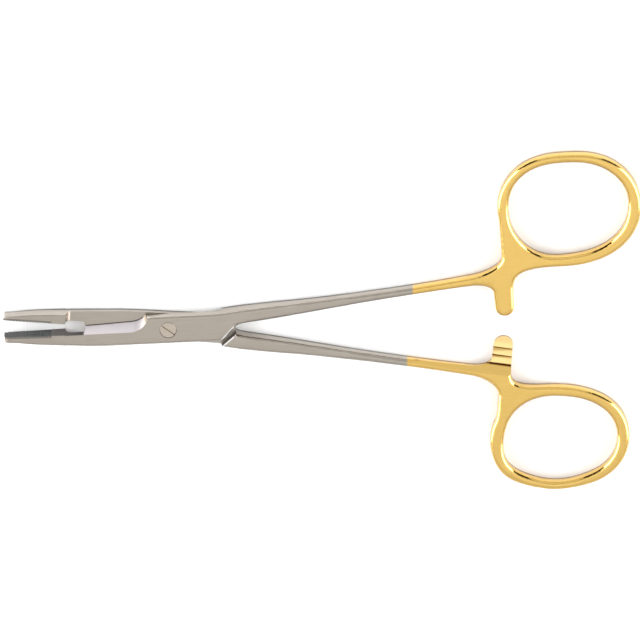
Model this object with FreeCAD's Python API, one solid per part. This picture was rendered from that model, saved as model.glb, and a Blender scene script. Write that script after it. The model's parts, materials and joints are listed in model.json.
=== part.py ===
"""Needle holder with suture scissors: two forged arms on a screw lap joint.

All sizes are in millimetres. Both arms are drawn closed, with the pivot at the origin, the closing line
along X, the jaws at -X and the rings at +X. Each is drawn the same way up, with its ring at +Y and the
layer that it keeps at the joint on top. The lower arm is then turned over about X, and both swing open.
In the finished part Z is up, and the origin is on the pivot axis at the underside of the joint.
"""

import FreeCAD, Part
import math
import os
from FreeCAD import Vector

# Opening of each arm from the closed position, in degrees
OPEN_UPPER = 2.87
OPEN_LOWER = 3.15

# Lap joint
JOINT_T = 4.6
JOINT_HALF_WIDTH = 3.15
LAP_GAP = 0.06
REAR_GAP = 0.2
REAR_X = 14.9
REAR_SLANT = 46.0
CORNER_R = 2.0
HEEL_BULGE = 3.62

# Thickness along the arm, as half thicknesses
JAW_TIP_HALF_T = 1.6
NOSE_HALF_T = 0.75
NOSE_RUN = 1.7
SHANK_HALF_T = 1.65
THIN_FROM_X = 40.0

# Jaws
SHOULDER_X = 21.2
SHOULDER_RUN = 1.5
BITE_GAP = 0.05
JAW_RELIEF = 0.07
TIP_CORNER = 0.6
TIP_ROUNDING = 0.9
TIP_SLOPE = 6.0

# Serrated inserts
INSERT_HEEL_X = 25.7
INSERT_T = 0.5
INSERT_SETBACK = 0.12
SERRATION_PITCH = 0.52
SERRATION_DEPTH = 0.17

# Suture scissors behind the jaws
NOTCH_X = 18.65
NOTCH_DEPTH = 0.2
BLADE_X = 8.3
BLADE_LAP = 1.3
BLADE_RISE = 0.45
HEEL_SLANT = 0.65
BLADE_END_R = 3.3
BEVEL_WIDTH = 1.42
BEVEL_END_WIDTH = 0.65

# Pivot screw
HEAD_D = 3.58
HEAD_RIM = 0.45
HEAD_CHAMFER = 0.08
SCREW_D = 2.3
CONE_H = 0.65
HEAD_CLEARANCE = 0.05
THREAD_CLEARANCE = 0.01
SLOT_WIDTH = 0.32
SLOT_DEPTH = 0.45
SLOT_ANGLE = -35.7

# Shanks, shared widths at shares of the length from the joint to the handle
SHANK_END_X = 67.0
SHANK_WIDTHS = ((0.0, 3.35), (0.28, 2.6), (0.48, 2.1), (0.72, 1.8), (1.0, 2.15))

# Ratchet bars
BAR_ROOT_W = 4.55
BAR_TIP_W = 4.0
BAR_CORNER_R = 1.9
BAR_ROOT_FULLNESS = 0.78
TOOTH_PITCH = 1.78
TOOTH_H = 0.55
TOOTH_COUNT = 3
TOOTH_GAP = 0.05
FIRST_TOOTH = 2.6
LAND_DROP = 0.14
STEP_RUN = 0.12
NOTCH_RUN = 0.42
ROOT_FLAT = 0.25
ROOT_RISE = 2.0
TEETH_LEAN = 5.0

# Rounding of the long edges, made in stretches: where each one ends along X, and its radius
ROUNDING = (
    (-SHOULDER_X - SHOULDER_RUN, 0.42),
    (17.2, 0.6),
    (THIN_FROM_X, 0.72),
    (130.0, 0.85),
)

# What differs from arm to arm. Widths of the jaw are at shares of the reach from pivot to tip, and the
# ring's hole is given by its radii in twelve directions, counted from +X towards +Y.
UPPER = {
    "reach": 36.6,
    "tip_r": 0.72,
    "jaw": ((0.93, 1.62), (0.82, 2.05), (0.65, 2.5), (0.48, 2.98)),
    "shank_y": (1.9, 4.6, 7.6),
    "ring_centre": (89.0, 23.5),
    "hole": (13.2, 12.85, 11.5, 10.65, 11.55, 12.9, 13.1, 12.9, 12.2, 10.95, 11.3, 12.5),
    "band": (2.8, 2.0, 2.35, 2.4),
    "ring_from": 263.0,
    "ring_to": 182.0,
    "crotch": (73.95, 12.9),
    "bar_x": (73.9, 74.1),
    "bar_tip_y": -0.85,
    "right_blend_y": 5.2,
}
LOWER = {
    "reach": 36.9,
    "tip_r": 0.47,
    "jaw": ((0.95, 1.1), (0.85, 1.6), (0.7, 2.12), (0.48, 2.62)),
    "shank_y": (1.9, 4.1, 6.3),
    "ring_centre": (87.6, 21.15),
    "hole": (12.5, 11.45, 10.05, 10.0, 10.95, 12.85, 12.4, 11.85, 10.8, 10.05, 10.8, 12.25),
    "band": (2.7, 1.9, 2.85, 2.3),
    "ring_from": 252.0,
    "ring_to": 192.0,
    "crotch": (73.4, 11.9),
    "bar_x": (73.55, 73.85),
    "bar_tip_y": -1.8,
    "right_blend_y": 6.1,
}

BIG = 400.0
HALF_T = JOINT_T / 2.0


def at(x, y, z=0.0):
    return Vector(x, y, z)


def heading(degrees):
    """Unit vector in the plan at an angle from +X."""
    turn = math.radians(degrees)
    return Vector(math.cos(turn), math.sin(turn), 0.0)


def line(start, end):
    return Part.makeLine(start, end)


def curve(points, start_heading=None, end_heading=None):
    """Smooth open curve through points, with given headings at its ends."""
    spline = Part.BSplineCurve()
    if start_heading is None:
        spline.interpolate(points)
    else:
        spline.interpolate(Points=points, InitialTangent=start_heading, FinalTangent=end_heading)
    return spline.toShape()


def end_heading(edge):
    return edge.tangentAt(edge.LastParameter)


def start_heading(edge):
    return edge.tangentAt(edge.FirstParameter)


def blend(start, start_dir, end, end_dir, fullness=0.56):
    """Round corner between two edges: it leaves one and joins the other without a kink."""
    chord = end - start
    turn = start_dir.x * end_dir.y - start_dir.y * end_dir.x
    leg_in = (chord.x * end_dir.y - chord.y * end_dir.x) / turn
    leg_out = (start_dir.x * chord.y - start_dir.y * chord.x) / turn
    bezier = Part.BezierCurve()
    bezier.setPoles([start, start + start_dir * leg_in * fullness, end - end_dir * leg_out * fullness, end])
    return bezier.toShape()


def along(share, first, middle, last):
    """Parabola through three values at the shares 0, 0.5 and 1."""
    return (
        first * (1 - share) * (1 - 2 * share)
        + 4 * middle * share * (1 - share)
        + last * share * (2 * share - 1)
    )


def shank_edge(spec, side):
    """Inner (side -1) or outer (side +1) edge of the shank, from the joint to the handle."""
    points = []
    for share, width in SHANK_WIDTHS:
        x = REAR_X + share * (SHANK_END_X - REAR_X)
        y = along(share, *spec["shank_y"]) + side * width / 2.0
        points.append(at(x, y))
    return points


def ring_radius(spec, degrees, band_share=0.0):
    """Radius of the ring's hole, plus a share of the band's width, in one direction."""
    hole = periodic(spec["hole"], degrees)
    return hole + band_share * periodic(spec["band"], degrees)


def periodic(values, degrees):
    """Smooth closed run through evenly spaced values, read at an angle."""
    count = len(values)
    place = (degrees % 360.0) / 360.0 * count
    first = int(place)
    t = place - first
    a, b, c, d = (values[(first + step) % count] for step in (-1, 0, 1, 2))
    return b + 0.5 * t * (c - a + t * (2 * a - 5 * b + 4 * c - d + t * (3 * (b - c) + d - a)))


def ring_point(spec, degrees, band_share):
    centre = at(*spec["ring_centre"])
    return centre + heading(degrees) * ring_radius(spec, degrees, band_share)


def ring_outer(spec):
    """Outer edge of the ring, from the ratchet bar round to the shank."""
    start = spec["ring_from"] - 360.0
    sweep = spec["ring_to"] - start
    steps = 12
    points = [ring_point(spec, start + sweep * i / steps, 1.0) for i in range(steps + 1)]
    return curve(points)


def ring_hole(spec):
    steps = 12
    points = [ring_point(spec, 360.0 * i / steps, 0.0) for i in range(steps)]
    spline = Part.BSplineCurve()
    spline.interpolate(Points=points, PeriodicFlag=True)
    return Part.Face(Part.Wire(spline.toShape()))


def bar_point(spec, side, y):
    """Point on the left (side -1) or right (side +1) edge of the ratchet bar."""
    tip_y = spec["bar_tip_y"]
    root_y = spec["shank_y"][2]
    share = (y - tip_y) / (root_y - tip_y)
    x = spec["bar_x"][1] + share * (spec["bar_x"][0] - spec["bar_x"][1])
    width = BAR_TIP_W + share * (BAR_ROOT_W - BAR_TIP_W)
    return at(x + side * width / 2.0, y)


def bar_outline(spec, left_y, right_y):
    """Edges of the ratchet bar from its left root, round the tip, to its right root."""
    tip_y = spec["bar_tip_y"]
    left_top = bar_point(spec, -1, left_y)
    left_low = bar_point(spec, -1, tip_y + BAR_CORNER_R)
    right_low = bar_point(spec, 1, tip_y + BAR_CORNER_R)
    right_top = bar_point(spec, 1, right_y)
    tip = at(spec["bar_x"][1], tip_y)
    down = (left_low - left_top).normalize()
    up = (right_top - right_low).normalize()
    across = Vector(1, 0, 0)
    return [
        line(left_top, left_low),
        blend(left_low, down, tip, across),
        blend(tip, across, right_low, up),
        line(right_low, right_top),
    ]


def jaw_face_y(x):
    """Height of the gripping face: it touches at the tip and falls away towards the joint."""
    share = (x + UPPER["reach"]) / (UPPER["reach"] - SHOULDER_X)
    return -BITE_GAP - JAW_RELIEF * share


def plan(spec):
    """Face with the arm's outline seen from above, with the ring's hole."""
    reach = spec["reach"]
    wide = JOINT_HALF_WIDTH
    tip_r = spec["tip_r"]
    tip_centre = at(-reach + tip_r, jaw_face_y(-reach) - tip_r)
    face_start = at(-reach + TIP_CORNER * tip_r, jaw_face_y(-reach))
    nose = tip_centre + heading(180.0) * tip_r
    tip_end = tip_centre + heading(270.0 - TIP_SLOPE) * tip_r
    tip = Part.Arc(nose, tip_centre + heading(225.0) * tip_r, tip_end).toShape()
    jaw_side = [at(-share * reach, -width) for share, width in spec["jaw"]]
    side_points = [tip_end] + jaw_side + [at(-0.22 * reach, -wide + 0.03), at(0, -wide)]

    slant = heading(REAR_SLANT)
    slant_top = at(REAR_X, 0.1)
    corner_leg = CORNER_R * math.tan(math.radians(REAR_SLANT / 2.0))
    corner_point = slant_top - slant * ((slant_top.y + wide) / slant.y)
    side_end = corner_point - Vector(corner_leg, 0, 0)
    slant_low = corner_point + slant * corner_leg
    side = curve(side_points + [side_end], heading(-TIP_SLOPE), heading(0.0))
    corner = blend(side_end, end_heading(side), slant_low, slant)

    inner_points = shank_edge(spec, -1)
    shank_slope = math.degrees(math.atan2(spec["shank_y"][2] - spec["shank_y"][0], SHANK_END_X - REAR_X))
    inner_start = at(REAR_X + 2.2, inner_points[0].y + 2.2 * math.tan(math.radians(shank_slope)) + 0.25)
    inner = curve([inner_start] + inner_points[1:])
    crotch = blend(slant_top, slant, inner_start, start_heading(inner))

    bar_left_y = end_point(inner).y - 1.9
    bar = bar_outline(spec, bar_left_y, spec["right_blend_y"])
    inner_to_bar = blend(end_point(inner), end_heading(inner), start_point(bar[0]), start_heading(bar[0]))

    ring = ring_outer(spec)
    bar_to_ring = blend(
        end_point(bar[-1]), end_heading(bar[-1]), start_point(ring), start_heading(ring), BAR_ROOT_FULLNESS
    )

    top_rear = at(REAR_X - 5.5, wide)
    outer_points = list(reversed(shank_edge(spec, 1)))
    outer = curve(outer_points[:-1] + [at(REAR_X + 0.4, HEEL_BULGE), at(REAR_X - 2.4, wide + 0.17), top_rear])
    crotch_point = at(*spec["crotch"])
    downward = heading(-88.0)
    ring_to_crotch = curve([end_point(ring), crotch_point], end_heading(ring), downward)
    ring_to_outer = blend(crotch_point, downward, start_point(outer), start_heading(outer))

    blade_start = at(-NOTCH_X + HEEL_SLANT, BLADE_LAP)
    blade_end = at(-BLADE_X, BLADE_LAP + BLADE_RISE)
    edge_dir = (blade_start - blade_end).normalize()
    arc_start = at(blade_end.x + BLADE_END_R, wide)
    top = line(top_rear, arc_start)
    blade_arc = blend(arc_start, heading(-110.0), blade_end, edge_dir)

    notch_rear = at(-NOTCH_X, -NOTCH_DEPTH)
    notch_front = at(-SHOULDER_X - SHOULDER_RUN, -NOTCH_DEPTH)
    face_end = at(notch_front.x, jaw_face_y(notch_front.x))
    edges = [line(face_start, nose), tip, side, corner, line(slant_low, slant_top), crotch, inner, inner_to_bar]
    edges += bar
    edges += [bar_to_ring, ring, ring_to_crotch, ring_to_outer, outer, top, blade_arc]
    edges += [
        line(blade_end, blade_start),
        line(blade_start, notch_rear),
        line(notch_rear, notch_front),
        line(notch_front, face_end),
        line(face_end, face_start),
    ]
    outline = Part.Face(Part.Wire(edges))
    return outline.cut(ring_hole(spec))


def start_point(edge):
    return edge.valueAt(edge.FirstParameter)


def end_point(edge):
    return edge.valueAt(edge.LastParameter)


def prism(points, direction):
    """Solid made by pushing a closed polygon along a direction."""
    face = Part.Face(Part.makePolygon(list(points) + [points[0]]))
    return face.extrude(direction)


def side_profile(spec):
    """Side view of the arm, pushed right through its width: it thins towards the tip and the handle."""
    reach = spec["reach"]
    end_x = spec["ring_centre"][0] + 30.0
    tip = at(-reach - 1.0, -BIG / 2, JAW_TIP_HALF_T)
    jaw_root = at(-SHOULDER_X - SHOULDER_RUN, -BIG / 2, HALF_T)
    thick_end = at(REAR_X - 5.5, -BIG / 2, HALF_T)
    thin_start = at(THIN_FROM_X, -BIG / 2, SHANK_HALF_T)
    thin_end = at(end_x, -BIG / 2, SHANK_HALF_T)
    level = Vector(1, 0, 0)
    run = (thin_start.x - thick_end.x) * 0.45
    taper = Part.BezierCurve()
    taper.setPoles([thick_end, thick_end + level * run, thin_start - level * run, thin_start])
    upper = [line(tip, jaw_root), line(jaw_root, thick_end), taper.toShape(), line(thin_start, thin_end)]
    lower = [edge.mirror(Vector(), Vector(0, 0, 1)) for edge in upper]
    ends = [
        line(at(tip.x, tip.y, -tip.z), tip),
        line(thin_end, at(thin_end.x, thin_end.y, -thin_end.z)),
    ]
    wire = Part.Wire(Part.__sortEdges__(upper + lower + ends))
    return Part.Face(wire).extrude(Vector(0, BIG, 0))


def slab(x_from, x_to):
    """Everything between two places along X."""
    return Part.makeBox(x_to - x_from, BIG, BIG, at(x_from, -BIG / 2, -BIG / 2))


def long_edges(body):
    """Edges that run along the top and underside, without the gripping face and the blade."""
    chosen = []
    for edge in body.Edges:
        box = edge.BoundBox
        upright = box.ZLength > 1.2
        at_a_stop = box.XLength < 0.01
        inner = box.YMax > -NOTCH_DEPTH and box.XMax < -BLADE_X + BLADE_END_R + 0.1
        if not (upright or at_a_stop or inner):
            chosen.append(edge)
    return chosen


def blank(spec):
    """The forging before its joint is cut: full thickness everywhere, with rounded edges."""
    outline = plan(spec)
    outline.translate(at(0, 0, -JOINT_T))
    body = outline.extrude(at(0, 0, 2 * JOINT_T)).common(side_profile(spec))
    stretches = []
    x_from = -spec["reach"] - 5.0
    for x_to, radius in ROUNDING:
        piece = body.common(slab(x_from, x_to)).Solids[0]
        if x_from < -spec["reach"]:
            radius = min(radius, TIP_ROUNDING * spec["tip_r"])
        stretches.append(piece.makeFillet(radius, long_edges(piece)))
        x_from = x_to
    return stretches[0].multiFuse(stretches[1:]).removeSplitter()


def nose_cutters(spec):
    """Rounds the end of the jaw as seen from the side: one cutter above and one below."""
    tip_x = -spec["reach"] - 0.01
    taper = (HALF_T - JAW_TIP_HALF_T) / (spec["reach"] + 1.0 - SHOULDER_X - SHOULDER_RUN)
    start = at(tip_x, NOSE_HALF_T)
    end = at(tip_x + NOSE_RUN, JAW_TIP_HALF_T + taper * (NOSE_RUN + 1.0))
    above = at(end.x, JOINT_T)
    before = at(tip_x - 2.0, JOINT_T)
    level = at(before.x, NOSE_HALF_T)
    edges = [
        blend(start, heading(90.0), end, heading(8.0)),
        line(end, above),
        line(above, before),
        line(before, level),
        line(level, start),
    ]
    upper = Part.Face(Part.Wire(edges)).extrude(at(0, 0, BIG))
    upper.rotate(at(0, 0), at(1, 0, 0), 90.0)
    upper.translate(at(0, BIG / 2, 0))
    return upper, upper.mirror(at(0, 0), at(0, 0, 1))


def lap_cutter():
    """Takes the lower half of the joint away, from the rounded shoulder to the slanted rear wall."""
    lap_z = LAP_GAP / 2.0
    shoulder = at(-SHOULDER_X - SHOULDER_RUN, 0, -JOINT_T)
    steep = at(shoulder.x, 0, -HALF_T)
    flat = at(-SHOULDER_X, 0, lap_z)
    hollow = Part.BezierCurve()
    hollow.setPoles([steep, at(steep.x + 0.1, 0, -0.35 * HALF_T), at(steep.x + 0.55, 0, lap_z), flat])
    far = at(REAR_X + 8.0, 0, lap_z)
    low = at(far.x, 0, shoulder.z)
    profile = [line(shoulder, steep), hollow.toShape(), line(flat, far), line(far, low), line(low, shoulder)]
    body = Part.Face(Part.Wire(profile)).extrude(at(0, BIG, 0))
    body.translate(at(0, -BIG / 2, 0))

    slant = heading(-REAR_SLANT)
    wall_point = at(REAR_X, -0.1) + heading(90.0 - REAR_SLANT) * REAR_GAP
    top = wall_point - slant * 20.0
    bottom = wall_point + slant * 20.0
    kept_rear = prism([top, bottom, bottom + at(40, 0), top + at(40, 0)], at(0, 0, BIG))
    kept_rear.translate(at(0, 0, -BIG / 2))
    return body.cut(kept_rear)


def bevel_cutter():
    """Grinds the scissor blade from its cutting edge at the lap up to the outer face."""
    left_x = -NOTCH_X - 1.6
    far_y = JOINT_HALF_WIDTH + 2.0
    edge_slope = BLADE_RISE / (NOTCH_X - HEEL_SLANT - BLADE_X)
    blade_end = at(-BLADE_X, BLADE_LAP + BLADE_RISE)
    edge_left = at(left_x, blade_end.y + edge_slope * (left_x - blade_end.x))
    along_edge = (blade_end - edge_left).normalize()
    front_y = BLADE_LAP - BEVEL_WIDTH
    side_x = -BLADE_X + BLADE_END_R

    rims = (
        (0.0, edge_left, blade_end, along_edge, at(side_x, JOINT_HALF_WIDTH), heading(70.0)),
        (HALF_T, at(left_x, front_y), at(-BLADE_X, front_y), heading(0.0),
         at(side_x + BEVEL_END_WIDTH, JOINT_HALF_WIDTH), heading(80.0)),
    )
    wires = []
    for z, left, bend, bend_dir, side, side_dir in rims:
        out = side + side_dir * ((far_y - side.y) / side_dir.y)
        corner = at(left_x, far_y)
        edges = [
            line(left, bend),
            blend(bend, bend_dir, side, side_dir),
            line(side, out),
            line(out, corner),
            line(corner, left),
        ]
        wire = Part.Wire(edges)
        wire.translate(at(0, 0, z))
        wires.append(wire)
    ground = Part.makeLoft(wires, True, True)
    above = Part.Face(wires[1]).extrude(at(0, 0, HALF_T))
    return ground, above


def ratchet_cutter(spec):
    """Thins the ratchet bar to its upper half, with saw teeth and a slope up to the handle."""
    tip_y = spec["bar_tip_y"]
    valley = TOOTH_GAP + TOOTH_H
    land = TOOTH_GAP + LAND_DROP
    profile = [at(0, tip_y - 4.0, -JOINT_T), at(0, tip_y - 4.0, land)]
    root_y = tip_y + FIRST_TOOTH - TOOTH_PITCH + STEP_RUN
    for tooth in range(TOOTH_COUNT):
        profile.append(at(0, root_y + NOTCH_RUN, land))
        root_y += TOOTH_PITCH
        profile.append(at(0, root_y - STEP_RUN, TOOTH_GAP))
        profile.append(at(0, root_y, valley))
    profile.append(at(0, root_y + ROOT_FLAT, valley))
    slope = ROOT_RISE / (valley + SHANK_HALF_T)
    profile.append(at(0, root_y + ROOT_FLAT + slope * (valley + JOINT_T), -JOINT_T))
    cutter = prism(profile, at(40, 0, 0))
    cutter.translate(at(-17.0, 0, 0))
    cutter.rotate(at(0, 0), at(0, 0, 1), TEETH_LEAN)
    cutter.translate(at(spec["bar_x"][0], 0, 0))
    return cutter


def insert_seat(spec):
    """Pocket for the serrated insert, open to the gripping face and both sides."""
    left_x = -spec["reach"] + TIP_CORNER * spec["tip_r"] + INSERT_SETBACK
    outline = [
        at(left_x, jaw_face_y(left_x) - INSERT_T),
        at(-INSERT_HEEL_X, jaw_face_y(-INSERT_HEEL_X) - INSERT_T),
        at(-INSERT_HEEL_X, 3.0),
        at(left_x, 3.0),
    ]
    seat = prism(outline, at(0, 0, BIG))
    seat.translate(at(0, 0, -BIG / 2))
    return seat


def serrated(insert):
    """Cuts two crossing sets of V grooves at 45 degrees into the gripping face of an insert."""
    step = SERRATION_PITCH * math.sqrt(2.0)
    reach = 4.0 * HALF_T
    half = 2.0 * SERRATION_DEPTH
    for lean in (-1.0, 1.0):
        grooves = []
        x = -UPPER["reach"] - reach
        while x < -INSERT_HEEL_X + reach:
            floor = at(x, jaw_face_y(x) - SERRATION_DEPTH)
            groove = prism(
                [floor, floor + at(half, half), floor + at(-half, half)],
                at(2 * reach * lean, 0, 2 * reach),
            )
            groove.translate(at(-reach * lean, 0, -reach))
            grooves.append(groove)
            x += step
        insert = insert.cut(Part.makeCompound(grooves))
    return insert


def turned(points):
    """Solid of revolution about Z from a profile of (radius, height)."""
    profile = [at(radius, 0, z) for radius, z in points]
    face = Part.Face(Part.makePolygon(profile + [profile[0]]))
    return face.revolve(at(0, 0), at(0, 0, 1), 360.0)


def screw_profile(clearance, top, bottom):
    """Countersunk head with a short rim, on a plain shaft."""
    head_r = HEAD_D / 2.0 + clearance
    shaft_r = SCREW_D / 2.0 + clearance
    rim_z = HALF_T - HEAD_RIM
    return [(0, bottom), (shaft_r, bottom), (shaft_r, rim_z - CONE_H), (head_r, rim_z), (head_r, top), (0, top)]


def pivot_screw():
    outline = screw_profile(0.0, HALF_T, -HALF_T)
    outline[-2:] = [
        (HEAD_D / 2.0, HALF_T - HEAD_CHAMFER),
        (HEAD_D / 2.0 - HEAD_CHAMFER, HALF_T),
        (0, HALF_T),
    ]
    slot = Part.makeBox(HEAD_D + 2.0, SLOT_WIDTH, 1.0)
    slot.translate(at(-HEAD_D / 2.0 - 1.0, -SLOT_WIDTH / 2.0, HALF_T - SLOT_DEPTH))
    slot.rotate(at(0, 0), at(0, 0, 1), SLOT_ANGLE)
    return turned(outline).cut(slot)


def arm(spec):
    """One arm without its screw hole, and its insert, both closed and the same way up."""
    body = blank(spec)
    for cutter in (*nose_cutters(spec), lap_cutter(), *bevel_cutter(), ratchet_cutter(spec)):
        body = body.cut(cutter)
    seat = insert_seat(spec)
    insert = serrated(body.common(seat))
    return body.cut(seat), insert


def swing_upper(shape):
    """From the closed drawing position to the open rest position, standing on the underside."""
    shape.rotate(at(0, 0), at(0, 0, 1), OPEN_UPPER)
    shape.translate(at(0, 0, HALF_T))
    return shape


def swing_lower(shape):
    shape.rotate(at(0, 0), at(1, 0, 0), 180.0)
    shape.rotate(at(0, 0), at(0, 0, 1), -OPEN_LOWER)
    shape.translate(at(0, 0, HALF_T))
    return shape


upper_body, lower_jaw_plate = arm(UPPER)
lower_body, upper_jaw_plate = arm(LOWER)
running_hole = turned(screw_profile(HEAD_CLEARANCE, HALF_T + 1.0, -HALF_T - 1.0))
threaded_hole = Part.makeCylinder(SCREW_D / 2.0 + THREAD_CLEARANCE, 2 * JOINT_T, at(0, 0, -JOINT_T))

screw = pivot_screw()
screw.translate(at(0, 0, HALF_T))
nodes = {
    "upper_arm": swing_upper(upper_body.cut(running_hole)),
    "lower_jaw_insert": swing_upper(lower_jaw_plate),
    "lower_arm": swing_lower(lower_body.cut(threaded_hole)),
    "upper_jaw_insert": swing_lower(upper_jaw_plate),
    "pivot_screw": screw,
}

os.makedirs("parts", exist_ok=True)
for name, shape in nodes.items():
    solid = shape.Solids[0]
    solid.exportStep("parts/" + name + ".step")
    print(name, "solids", len(shape.Solids), "faces", len(solid.Faces), "volume", round(solid.Volume, 2))
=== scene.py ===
"""Studio scene of a gold-handled needle holder with suture scissors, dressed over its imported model.

Everything is in metres and in the model's own frame: the pivot is at the origin, the rings are at
+X, and Z is up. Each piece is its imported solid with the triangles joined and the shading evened
out. The finishes are satin steel at the jaws and joint, gold plating on the handles, and dark hard
metal in the jaws. One shape is mended here: the slope up from each ratchet bar runs out along its
shank.
"""

import itertools
import json
import math

import bmesh
import bpy
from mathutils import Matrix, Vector


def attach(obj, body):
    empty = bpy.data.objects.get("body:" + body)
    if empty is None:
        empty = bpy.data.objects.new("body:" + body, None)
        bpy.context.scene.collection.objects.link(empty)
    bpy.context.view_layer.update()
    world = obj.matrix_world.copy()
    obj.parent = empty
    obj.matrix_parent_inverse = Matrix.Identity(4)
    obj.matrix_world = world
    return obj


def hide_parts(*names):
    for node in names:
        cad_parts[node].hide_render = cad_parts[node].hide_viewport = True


MM = 0.001

# The photograph's frame: its side, pixels per millimetre, the pivot's pixel, and the camera's lean
# over +Y. The clip limits are in metres.
IMAGE_PX = 640
PX_PER_MM = 4.55
PIVOT_PX = (168.3, 326.7)
CAMERA_LEAN = math.radians(20.0)
LENS_MM = 800.0
SENSOR_MM = 36.0
CLIP_FROM = 0.1
CLIP_TO = 20.0

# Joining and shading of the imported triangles. A level is the share of a face's direction that
# points up or down: 0 on an upright face and 1 on one that lies flat.
WELD_MM = 0.0005
FLAT_LEVEL = 0.995
UPRIGHT_LEVEL = 0.02
CREASE_DEGREES = 38.0
SLOPE_CREASE_DEGREES = 6.0

# The number by which the modifier that evens the shading knows a strong face
STRONG_FACE = 16384

# The slope up from the ratchet bar: where its end wall stands along X, how squarely the wall faces
# along X, and the run-out that takes the wall's place, all lengths in millimetres
SLOPE_END_X = (54.0, 59.5)
SLOPE_END_FACING = 0.95
SLOPE_FACING = 0.9995
RUN_OUT_LENGTH = 6.0
RUN_OUT_DEPTH = 0.34
RUN_OUT_OVERLAP = 0.3
RUN_OUT_TOLERANCE = 0.0001
CROWDED_LENGTH = 1.0

# Colours of the metals, and the colours of the painted shade and painted highlights
SATIN_STEEL = (0.36, 0.32, 0.275)
BRIGHT_STEEL = (0.45, 0.405, 0.35)
BEVEL_STEEL = (0.62, 0.58, 0.6)
# Painted highlight on the steel
HIGHLIGHT_STEEL = (0.95, 0.94, 0.93)
# Painted shade on the steel
SHADE_STEEL = (0.07, 0.062, 0.055)
TURNED_STEEL = (0.44, 0.38, 0.31)
PALE_STEEL = (0.54, 0.48, 0.4)
SATIN_GOLD = (0.72, 0.47, 0.125)
BRIGHT_GOLD = (0.84, 0.58, 0.2)
# Painted highlight on the gold
HIGHLIGHT_GOLD = (1.0, 0.76, 0.38)
# Painted shade on the gold
SHADE_GOLD = (0.2, 0.085, 0.015)
DARK_CARBIDE = (0.05, 0.052, 0.053)
WORN_CARBIDE = (0.13, 0.135, 0.135)
GROUND_CARBIDE = (0.2, 0.185, 0.165)

# The arms. Places are in millimetres from the pivot, and the lean of the brushing is in degrees.
MID_HEIGHT = 2.3
GOLD_FROM_X = {"upper_arm": 53.7, "lower_arm": 52.5}
GOLD_BLUR = 0.15
ARM_LEAN = {"upper_arm": 6.5, "lower_arm": -5.5}

# Marks on the arms. A pair is where a mark's edge starts and where it is complete: as a place in
# millimetres, as a level, or as the share of a face's direction along X or Y.
POLISHED_LEVEL = (0.8, 0.985)

# Painted shade at the foot of the flanks, which rises where the shank thins, and on their -Y rim
FOOT_Z = 0.55
FOOT_RISE = 0.85
FOOT_RISES_X = (9.4, 40.0)
FOOT_HEIGHT = (0.45, 0.95)
FOOT_LEVEL = (0.6, 0.9)
RIM_ACROSS = (0.3, 0.7)
RIM_FROM_LEVEL = (0.1, 0.3)
RIM_TO_LEVEL = (0.6, 0.82)

# Slanted edges behind the joint: a point on each with its heading in degrees, the painted highlight
# of the honed line along it, and the painted shade on the lap's rear wall, which faces the joint
SLANTED_EDGE = {"upper_arm": (14.5, 0.85, 48.9), "lower_arm": (15.02, -0.87, 42.9)}
REAR_FROM_X = (11.0, 11.5)
HONED_TO_X = (14.3, 14.6)
HONED_FROM_Z = (4.0, 4.2)
HONED_WIDTH = (0.16, 0.28)
REAR_WALL_TO_X = (17.0, 17.5)
REAR_WALL_LEVEL = (0.1, 0.2)
REAR_WALL_FACING = (0.4, 0.6)

# Bevel of the scissor blade, and the painted shadow along the keen line in the middle of its height
BLADE_FROM_X = (-20.2, -20.0)
BLADE_TO_X = (-4.2, -3.9)
BEVEL_FROM_LEVEL = (0.3, 0.4)
BEVEL_TO_LEVEL = (0.7, 0.8)
BEVEL_ACROSS = (0.3, 0.6)
KEEN_HEIGHT = (0.14, 0.3)

# Jaws: the faces that bite, painted with shade, and the nose at the tip, with a painted highlight
BITE_TO_X = (-18.9, -18.5)
BITE_TO_Y = (2.2, 2.3)
BITE_ACROSS = (0.8, 0.95)
NOSE_TO_X = (-36.2, -35.9)
NOSE_FROM_Z = (0.6, 1.0)
NOSE_LEVEL = (0.85, 0.95)

# Lands of the ratchet bars, painted paler as a highlight
BAR_FROM_X = (70.0, 70.5)
BAR_TO_X = (77.5, 78.0)
BAR_TO_Y = (8.5, 9.0)
LAND_LEVEL = (0.9, 0.98)
LAND_HEIGHT = (0.8, 1.0)
LAND_HIGHLIGHT = 0.6

# Grain sizes in millimetres along X, Y and Z, and how much each grain shows in a colour
BRUSHED = (6.0, 0.09, 0.25)
CLOUDED = (4.0, 1.6, 1.6)
FINE = (0.12, 0.12, 0.12)
TURNED = (0.3, 0.3, 0.3)
SINTERED = (0.08, 0.08, 0.08)
STREAK_LIMITS = (0.3, 0.7)
STEEL_STREAKS = 0.5
STEEL_CLOUDS = 0.35
GOLD_STREAKS = 0.35
GOLD_CLOUDS = 0.3

# Roughness, and what the grains and the polish do to it
SATIN_ROUGHNESS = 0.34
BRUSHED_ROUGHNESS = 0.12
FINE_ROUGHNESS = 0.05
BEVEL_ROUGHNESS = 0.2
STEEL_POLISH = 0.14
GOLD_POLISH = 0.12
CARBIDE_ROUGHNESS = 0.4
CARBIDE_GRAIN_ROUGHNESS = 0.2

# Relief: its depth in millimetres and its strength, and the share of each pattern in it
ARM_RELIEF = (0.012, 0.35)
SCREW_RELIEF = (0.006, 0.3)
INSERT_RELIEF = (0.01, 0.4)
BRUSHED_SHARE = 0.7
FINE_SHARE = 0.3
POLISH_SHARE = 0.9
RING_SHARE = 0.5

# Screw and inserts: radians of the lathe's wave per millimetre, and the level of a ground face
LATHE_WAVE = 55.0
GROUND_LEVEL = (0.85, 0.97)
CARBIDE_METALLIC = 0.9

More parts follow.
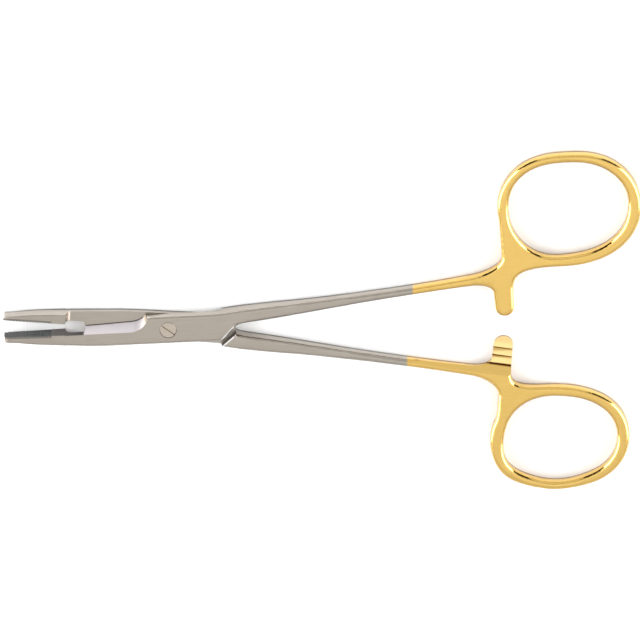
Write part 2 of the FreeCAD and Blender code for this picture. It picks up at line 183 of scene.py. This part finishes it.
# Studio: a pale wall in front, white walls to the left and right, dark gaps beyond them, a pale
# wall behind, and a pale ceiling. A wall's limits are the share of its direction that points to
# +Y, and the ceiling's are the share that points up.
WALL_FROM = (-0.4, -0.35)
WALL_TO = (0.57, 0.6)
GAP_TO = (0.88, 0.91)
CEILING_FROM = (0.7, 0.82)
FRONT_LIGHT = 1.0
WALL_LIGHT = 8.0
GAP_LIGHT = 0.02
BACK_LIGHT = 1.2
CEILING_LIGHT = 0.88

# What keeps the bearing of a direction straight up from a division by zero
NEVER_ZERO = 0.0001

# Lamp and floor, in metres and watts
SOFTBOX_PLACE = (0.033, -0.1, 0.8)
SOFTBOX_SIZE = 0.36
SOFTBOX_POWER = 0.4
FLOOR_HALF = 3.0
FLOOR_GREY = 0.92
FLOOR_ROUGHNESS = 0.9

# A Mix node has a row of sockets for each kind of data. These are the ones that colours use.
MIX_SHARE = 0
MIX_FIRST = 6
MIX_SECOND = 7
MIX_RESULT = 2


class Sum:
    """A shader socket on which plain arithmetic adds Math nodes."""

    def __init__(self, shader, socket):
        self.shader = shader
        self.socket = socket

    def _with(self, operation, *values):
        return self.shader.add("ShaderNodeMath", {"operation": operation}, dict(enumerate(values)))

    def __add__(self, other):
        return self._with("ADD", self, other)

    __radd__ = __add__

    def __mul__(self, other):
        return self._with("MULTIPLY", self, other)

    __rmul__ = __mul__

    def __sub__(self, other):
        return self._with("SUBTRACT", self, other)

    def __rsub__(self, other):
        return self._with("SUBTRACT", other, self)

    def __truediv__(self, other):
        return self._with("DIVIDE", self, other)

    def __pow__(self, other):
        return self._with("POWER", self, other)

    def __neg__(self):
        return self._with("MULTIPLY", self, -1.0)

    def __abs__(self):
        return self._with("ABSOLUTE", self)

    def most(self, other):
        """The larger of the two."""
        return self._with("MAXIMUM", self, other)

    def ramp(self, low, high):
        """0 below low, 1 above high, and smooth between them."""
        return self.shader.add(
            "ShaderNodeMapRange",
            {"interpolation_type": "SMOOTHSTEP"},
            {"Value": self, "From Min": low, "From Max": high},
        )

    def fade(self, low, high):
        """1 below low, 0 above high, and smooth between them."""
        return 1.0 - self.ramp(low, high)

    def swing(self, amount):
        """How far a grain is from its mean of a half, times an amount."""
        return (self - 0.5) * amount


class Shader:
    """A node tree that is built from plain expressions."""

    def __init__(self, tree):
        self.tree = tree
        self.tree.nodes.clear()

    def add(self, kind, settings, values, result=0):
        """A node of any kind: its settings first, then the values or links of its sockets.

        Gives the socket of its result, or nothing for a node that ends the tree.
        """
        node = self.tree.nodes.new(kind)
        for name, setting in settings.items():
            setattr(node, name, setting)
        for name, value in values.items():
            self.feed(node.inputs[name], value)
        return Sum(self, node.outputs[result]) if node.outputs else None

    def feed(self, socket, value):
        """Links a socket to an expression, or gives it a number, a vector or a colour."""
        if isinstance(value, Sum):
            self.tree.links.new(value.socket, socket)
        elif isinstance(value, tuple) and len(value) == 3 and socket.type == "RGBA":
            socket.default_value = (*value, 1.0)
        else:
            socket.default_value = value

    def mix(self, share, first, second):
        """Colour that goes from first to second."""
        values = {MIX_SHARE: share, MIX_FIRST: first, MIX_SECOND: second}
        return self.add("ShaderNodeMix", {"data_type": "RGBA"}, values, MIX_RESULT)


class Finish(Shader):
    """One material, read in millimetres of the instrument."""

    def __init__(self, name):
        self.material = bpy.data.materials.new(name)
        self.material.use_nodes = True
        super().__init__(self.material.node_tree)
        self.place = self.add("ShaderNodeTexCoord", {}, {}, "Object")

    def along(self, axis):
        """Place along X, Y or Z, in millimetres."""
        return self.add("ShaderNodeSeparateXYZ", {}, {"Vector": self.place}, axis) * (1.0 / MM)

    def facing(self, axis):
        """The surface's own direction along X, Y or Z."""
        direction = self.add("ShaderNodeTexCoord", {}, {}, "Normal")
        return self.add("ShaderNodeSeparateXYZ", {}, {"Vector": direction}, axis)

    def stretched(self, size_mm, lean):
        """Place in grains of a size in millimetres along X, Y and Z, turned about Z in degrees."""
        turned = self.add(
            "ShaderNodeVectorRotate",
            {"rotation_type": "Z_AXIS"},
            {"Vector": self.place, "Angle": -math.radians(lean)},
        )
        grain = tuple(1.0 / (size * MM) for size in size_mm)
        return self.add("ShaderNodeVectorMath", {"operation": "MULTIPLY"}, {0: turned, 1: grain})

    def noise(self, size_mm, lean=0.0, detail=3.0, roughness=0.5):
        """A grain from 0 to 1, with its mean at a half."""
        place = self.stretched(size_mm, lean)
        values = {"Vector": place, "Scale": 1.0, "Detail": detail, "Roughness": roughness}
        return self.add("ShaderNodeTexNoise", {}, values)

    def bump(self, height, depth_mm, strength):
        """The surface's direction over a relief, whose depth is in millimetres."""
        values = {"Strength": strength, "Distance": depth_mm * MM, "Height": height}
        return self.add("ShaderNodeBump", {}, values, "Normal")

    def finish(self, **sockets):
        """The material, with the surface's sockets named by their own words."""
        values = {name.replace("_", " "): value for name, value in sockets.items()}
        surface = self.add("ShaderNodeBsdfPrincipled", {}, values)
        self.add("ShaderNodeOutputMaterial", {}, {"Surface": surface})
        return self.material


class ArmFinish(Finish):
    """The finish of one arm, with its marks as shares from 0 to 1 over the surface."""

    def __init__(self, name):
        super().__init__(name + "_finish")
        self.x, self.y, self.z = (self.along(axis) for axis in "XYZ")
        self.lengthwise, self.across, up = (self.facing(axis) for axis in "XYZ")
        self.level = abs(up)
        self.from_middle = abs(self.z - MID_HEIGHT)

    def outline(self):
        """Painted shade at the foot of the flanks, and along the rim of their -Y side."""
        foot = FOOT_Z + self.x.ramp(*FOOT_RISES_X) * FOOT_RISE
        foot_shade = (self.z - foot).fade(*FOOT_HEIGHT) * self.level.fade(*FOOT_LEVEL)
        rim_shade = self.level.ramp(*RIM_FROM_LEVEL) * self.level.fade(*RIM_TO_LEVEL)
        return foot_shade.most((-self.across).ramp(*RIM_ACROSS) * rim_shade)

    def rear_wall_shade(self):
        """Upright wall at the rear of the lap, which faces the joint, where shade is painted."""
        stretch = self.x.ramp(*REAR_FROM_X) * self.x.fade(*REAR_WALL_TO_X)
        wall = (-self.lengthwise).ramp(*REAR_WALL_FACING) * self.level.fade(*REAR_WALL_LEVEL)
        return stretch * wall

    def honed_highlight_line(self, edge_x, edge_y, heading):
        """Thin line along the top of the slanted edge, where a highlight is painted and the steel is
        polished.
        """
        turn = math.radians(heading)
        from_edge = abs((self.x - edge_x) * math.sin(turn) - (self.y - edge_y) * math.cos(turn))
        stretch = self.x.ramp(*REAR_FROM_X) * self.x.fade(*HONED_TO_X)
        return from_edge.fade(*HONED_WIDTH) * self.z.ramp(*HONED_FROM_Z) * stretch

    def bevel(self):
        """Ground bevel of the scissor blade."""
        stretch = self.x.ramp(*BLADE_FROM_X) * self.x.fade(*BLADE_TO_X)
        slant = self.level.ramp(*BEVEL_FROM_LEVEL) * self.level.fade(*BEVEL_TO_LEVEL)
        return stretch * slant * abs(self.across).ramp(*BEVEL_ACROSS)

    def bite_shade(self):
        """Inner faces of the jaw, around the insert, where shade is painted."""
        inside = self.x.fade(*BITE_TO_X) * abs(self.y).fade(*BITE_TO_Y)
        return inside * abs(self.across).ramp(*BITE_ACROSS)

    def nose_highlight(self):
        """Rounded tip of the jaw, where a highlight is painted."""
        return self.x.fade(*NOSE_TO_X) * self.level.fade(*NOSE_LEVEL) * self.z.ramp(*NOSE_FROM_Z)

    def land_highlight(self):
        """Level faces of the ratchet bar at the middle of its height, where a highlight is painted.
        """
        bar = self.x.ramp(*BAR_FROM_X) * self.x.fade(*BAR_TO_X) * abs(self.y).fade(*BAR_TO_Y)
        return bar * self.level.ramp(*LAND_LEVEL) * self.from_middle.fade(*LAND_HEIGHT)


def arm_finish(name):
    """Satin steel that turns to satin gold at the plating line, with polished sides."""
    arm = ArmFinish(name)
    plating_x = GOLD_FROM_X[name]
    plated = arm.x.ramp(plating_x - GOLD_BLUR, plating_x + GOLD_BLUR)
    polished = arm.level.fade(*POLISHED_LEVEL)
    outline = arm.outline()
    bevel = arm.bevel()
    # Painted shadow of the gap along the blade's keen edge
    keen_shadow = bevel * arm.from_middle.fade(*KEEN_HEIGHT)
    # Painted shade: where this is high, the steel goes near black
    painted_shade = outline.most(arm.bite_shade()).most(keen_shadow).most(arm.rear_wall_shade())
    honed_highlight = arm.honed_highlight_line(*SLANTED_EDGE[name])

    brushing = arm.noise(BRUSHED, ARM_LEAN[name], detail=4.0, roughness=0.6)
    clouding = arm.noise(CLOUDED, ARM_LEAN[name], detail=2.0)
    fine = arm.noise(FINE, detail=2.0)
    streaks = brushing.ramp(*STREAK_LIMITS)

    steel_grain = streaks * STEEL_STREAKS + clouding * STEEL_CLOUDS
    steel = arm.mix(steel_grain, SATIN_STEEL, BRIGHT_STEEL)
    steel = arm.mix(bevel, steel, BEVEL_STEEL)
    steel = arm.mix(painted_shade, steel, SHADE_STEEL)
    # Painted highlight: near white on the honed edges and on the jaw's nose
    steel = arm.mix(honed_highlight.most(arm.nose_highlight()), steel, HIGHLIGHT_STEEL)
    gold_grain = streaks * GOLD_STREAKS + clouding * GOLD_CLOUDS
    gold = arm.mix(gold_grain, SATIN_GOLD, BRIGHT_GOLD)
    # Painted highlight: the ratchet's lands turn paler
    gold = arm.mix(arm.land_highlight() * LAND_HIGHLIGHT, gold, HIGHLIGHT_GOLD)
    # Painted shade: the outline of the gold goes dark brown
    gold = arm.mix(outline, gold, SHADE_GOLD)

    rough = SATIN_ROUGHNESS + brushing.swing(BRUSHED_ROUGHNESS) + fine.swing(FINE_ROUGHNESS)
    rough = rough + bevel * BEVEL_ROUGHNESS
    rough = rough - polished.most(honed_highlight) * (STEEL_POLISH + plated * GOLD_POLISH)
    grain = brushing * BRUSHED_SHARE + fine * FINE_SHARE
    height = grain * (1.0 - polished * POLISH_SHARE)
    return arm.finish(
        Base_Color=arm.mix(plated, steel, gold),
        Metallic=1.0,
        Roughness=rough,
        Normal=arm.bump(height, *ARM_RELIEF),
    )


def screw_finish():
    """Turned screw head: faint rings from the lathe on warm satin steel."""
    screw = Finish("screw_finish")
    x = screw.along("X")
    y = screw.along("Y")
    radius = (x * x + y * y) ** 0.5
    rings = screw.add("ShaderNodeMath", {"operation": "SINE"}, {0: radius * LATHE_WAVE})
    grain = screw.noise(TURNED)
    return screw.finish(
        Base_Color=screw.mix(grain, TURNED_STEEL, PALE_STEEL),
        Metallic=1.0,
        Roughness=SATIN_ROUGHNESS + grain.swing(BRUSHED_ROUGHNESS),
        Normal=screw.bump(rings * RING_SHARE + grain, *SCREW_RELIEF),
    )


def insert_finish():
    """Sintered hard metal: near black, and brighter on the ground faces above and below."""
    insert = Finish("insert_finish")
    grain = insert.noise(SINTERED)
    ground = abs(insert.facing("Z")).ramp(*GROUND_LEVEL)
    sintered = insert.mix(grain, DARK_CARBIDE, WORN_CARBIDE)
    return insert.finish(
        Base_Color=insert.mix(ground, sintered, GROUND_CARBIDE),
        Metallic=CARBIDE_METALLIC,
        Roughness=CARBIDE_ROUGHNESS + grain.swing(CARBIDE_GRAIN_ROUGHNESS),
        Normal=insert.bump(grain, *INSERT_RELIEF),
    )


def slope_end(form):
    """Corners of the small wall that ends the slope up from the ratchet bar, in a fixed order."""
    near, far = (limit * MM for limit in SLOPE_END_X)
    corners = set()
    for face in form.faces:
        if abs(face.normal.x) > SLOPE_END_FACING and near < face.calc_center_median().x < far:
            corners.update(face.verts)
    return sorted(corners, key=lambda corner: tuple(corner.co))


def run_out(form):
    """Lets the slope up from the ratchet bar run out along the shank, in place of its end wall.

    What stands above the run-out is pressed down to it, and corners that crowd at its foot are
    dissolved. Gives the slope's own faces. The inserts and the screw have no end wall, and stay as
    they are.
    """
    corners = slope_end(form)
    if not corners:
        return set()
    pairs = itertools.combinations(corners, 2)
    first, last = max(pairs, key=lambda pair: (pair[0].co - pair[1].co).length)
    foot = first.co.copy()
    chord = (last.co - foot).normalized()
    heights = [corner.co - foot - chord * (corner.co - foot).dot(chord) for corner in corners]
    outward = max(heights, key=lambda height: height.length).normalized()
    crowded = []
    for vertex in form.verts:
        before = foot.x - vertex.co.x
        kept = max(before, 0.0) * RUN_OUT_DEPTH / RUN_OUT_LENGTH
        excess = (vertex.co - foot).dot(outward) - kept
        on_run_out = -RUN_OUT_OVERLAP * MM < before < RUN_OUT_LENGTH * MM
        if on_run_out and excess > RUN_OUT_TOLERANCE * MM:
            vertex.co -= outward * excess
            if before < CROWDED_LENGTH * MM and vertex not in (first, last):
                crowded.append(vertex)
    bmesh.ops.dissolve_verts(form, verts=crowded)
    wide = [face for face in form.faces if len(face.verts) > 3]
    bmesh.ops.triangulate(form, faces=wide)
    form.normal_update()
    beyond = (face for face in form.faces if face.calc_center_median().x > foot.x)
    return {face for face in beyond if face.normal.dot(outward) > SLOPE_FACING}


def welded(node, name, material):
    """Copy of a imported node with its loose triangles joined, and smooth between its creases."""
    piece = bpy.data.objects.new(name, bpy.data.meshes.new(name))
    bpy.context.scene.collection.objects.link(piece)
    form = bmesh.new()
    form.from_mesh(node.data)
    bmesh.ops.remove_doubles(form, verts=form.verts, dist=WELD_MM * MM)
    for face in form.faces:
        face.smooth = True
    # A new layer makes every face at hand out of date, so this one comes before the slope's faces
    strength = form.faces.layers.int.new("__mod_weightednormals_faceweight")
    slope = run_out(form)
    for face in form.faces:
        level = abs(face.normal.z)
        strong = level > FLAT_LEVEL or level < UPRIGHT_LEVEL or face in slope
        face[strength] = STRONG_FACE if strong else 0
    for edge in form.edges:
        beside_slope = len(slope.intersection(edge.link_faces)) == 1
        crease = math.radians(SLOPE_CREASE_DEGREES if beside_slope else CREASE_DEGREES)
        edge.smooth = len(edge.link_faces) == 2 and edge.calc_face_angle(0.0) < crease
    form.to_mesh(piece.data)
    form.free()
    piece.data.materials.append(material)
    weighted = piece.modifiers.new("Even shading", "WEIGHTED_NORMAL")
    weighted.keep_sharp = True
    weighted.use_face_influence = True
    return piece


def pale_floor():
    """Plain paper that reaches past the frame."""
    paper = Finish("pale_paper")
    grey = (FLOOR_GREY, FLOOR_GREY, FLOOR_GREY)
    low, high = -FLOOR_HALF, FLOOR_HALF
    corners = [(low, low, 0), (high, low, 0), (high, high, 0), (low, high, 0)]
    floor_mesh = bpy.data.meshes.new("floor")
    floor_mesh.from_pydata(corners, [], [(0, 1, 2, 3)])
    floor_mesh.materials.append(paper.finish(Base_Color=grey, Roughness=FLOOR_ROUGHNESS))
    floor = bpy.data.objects.new("floor", floor_mesh)
    bpy.context.scene.collection.objects.link(floor)


def surroundings():
    """Walls of light, which light the floor and show in the polished sides."""
    world = bpy.data.worlds.new("surroundings")
    world.use_nodes = True
    bpy.context.scene.world = world
    sky = Shader(world.node_tree)
    direction = sky.add("ShaderNodeTexCoord", {}, {}, "Generated")
    x, y, z = (sky.add("ShaderNodeSeparateXYZ", {}, {"Vector": direction}, axis) for axis in "XYZ")
    bearing = y / (x * x + y * y + NEVER_ZERO) ** 0.5
    light = FRONT_LIGHT + bearing.ramp(*WALL_FROM) * (WALL_LIGHT - FRONT_LIGHT)
    light = light + bearing.ramp(*WALL_TO) * (GAP_LIGHT - WALL_LIGHT)
    light = light + bearing.ramp(*GAP_TO) * (BACK_LIGHT - GAP_LIGHT)
    light = light + z.ramp(*CEILING_FROM) * (CEILING_LIGHT - light)
    background = sky.add("ShaderNodeBackground", {}, {"Strength": light})
    sky.add("ShaderNodeOutputWorld", {}, {"Surface": background})


def softbox():
    """Soft lamp above the instrument, turned to the joint."""
    data = bpy.data.lights.new("softbox", "AREA")
    data.size = SOFTBOX_SIZE
    data.energy = SOFTBOX_POWER
    lamp = bpy.data.objects.new("softbox", data)
    lamp.location = SOFTBOX_PLACE
    to_joint = -Vector(SOFTBOX_PLACE)
    lamp.rotation_euler = to_joint.to_track_quat("-Z", "Y").to_euler()
    bpy.context.scene.collection.objects.link(lamp)


def photo_camera():
    """Long lens at the photograph's angle, aimed so that the pivot falls on its pixel."""
    lean = Vector((0.0, math.sin(CAMERA_LEAN), math.cos(CAMERA_LEAN)))
    distance = IMAGE_PX / PX_PER_MM * MM * LENS_MM / SENSOR_MM
    centre_px = IMAGE_PX / 2.0
    aim_x = (centre_px - PIVOT_PX[0]) / PX_PER_MM
    aim_y = (PIVOT_PX[1] - centre_px) / PX_PER_MM / math.cos(CAMERA_LEAN)
    aim = Vector((aim_x, aim_y, MID_HEIGHT)) * MM
    data = bpy.data.cameras.new("photo_camera")
    data.lens = LENS_MM
    data.sensor_width = SENSOR_MM
    data.clip_start = CLIP_FROM
    data.clip_end = CLIP_TO
    camera = bpy.data.objects.new("photo_camera", data)
    camera.location = aim + lean * distance
    camera.rotation_euler = (-CAMERA_LEAN, 0.0, 0.0)
    bpy.context.scene.collection.objects.link(camera)
    bpy.context.scene.camera = camera


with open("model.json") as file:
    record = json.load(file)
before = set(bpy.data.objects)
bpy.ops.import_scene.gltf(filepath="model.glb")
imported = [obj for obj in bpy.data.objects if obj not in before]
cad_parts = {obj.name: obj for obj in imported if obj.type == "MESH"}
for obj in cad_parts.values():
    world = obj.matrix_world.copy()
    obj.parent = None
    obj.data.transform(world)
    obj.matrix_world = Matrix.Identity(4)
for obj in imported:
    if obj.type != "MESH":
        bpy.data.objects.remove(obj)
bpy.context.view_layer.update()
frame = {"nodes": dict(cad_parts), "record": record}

FINISHES = {
    "upper_arm": arm_finish("upper_arm"),
    "lower_arm": arm_finish("lower_arm"),
    "lower_jaw_insert": insert_finish(),
    "upper_jaw_insert": insert_finish(),
    "pivot_screw": screw_finish(),
}
for body, names in frame["record"]["behaviour"]["bodies"].items():
    for node_name in names:
        piece = welded(frame["nodes"][node_name], node_name + "_dressed", FINISHES[node_name])
        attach(piece, body)
        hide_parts(node_name)

pale_floor()
surroundings()
softbox()
photo_camera()
bpy.context.scene.view_settings.view_transform = "Standard"
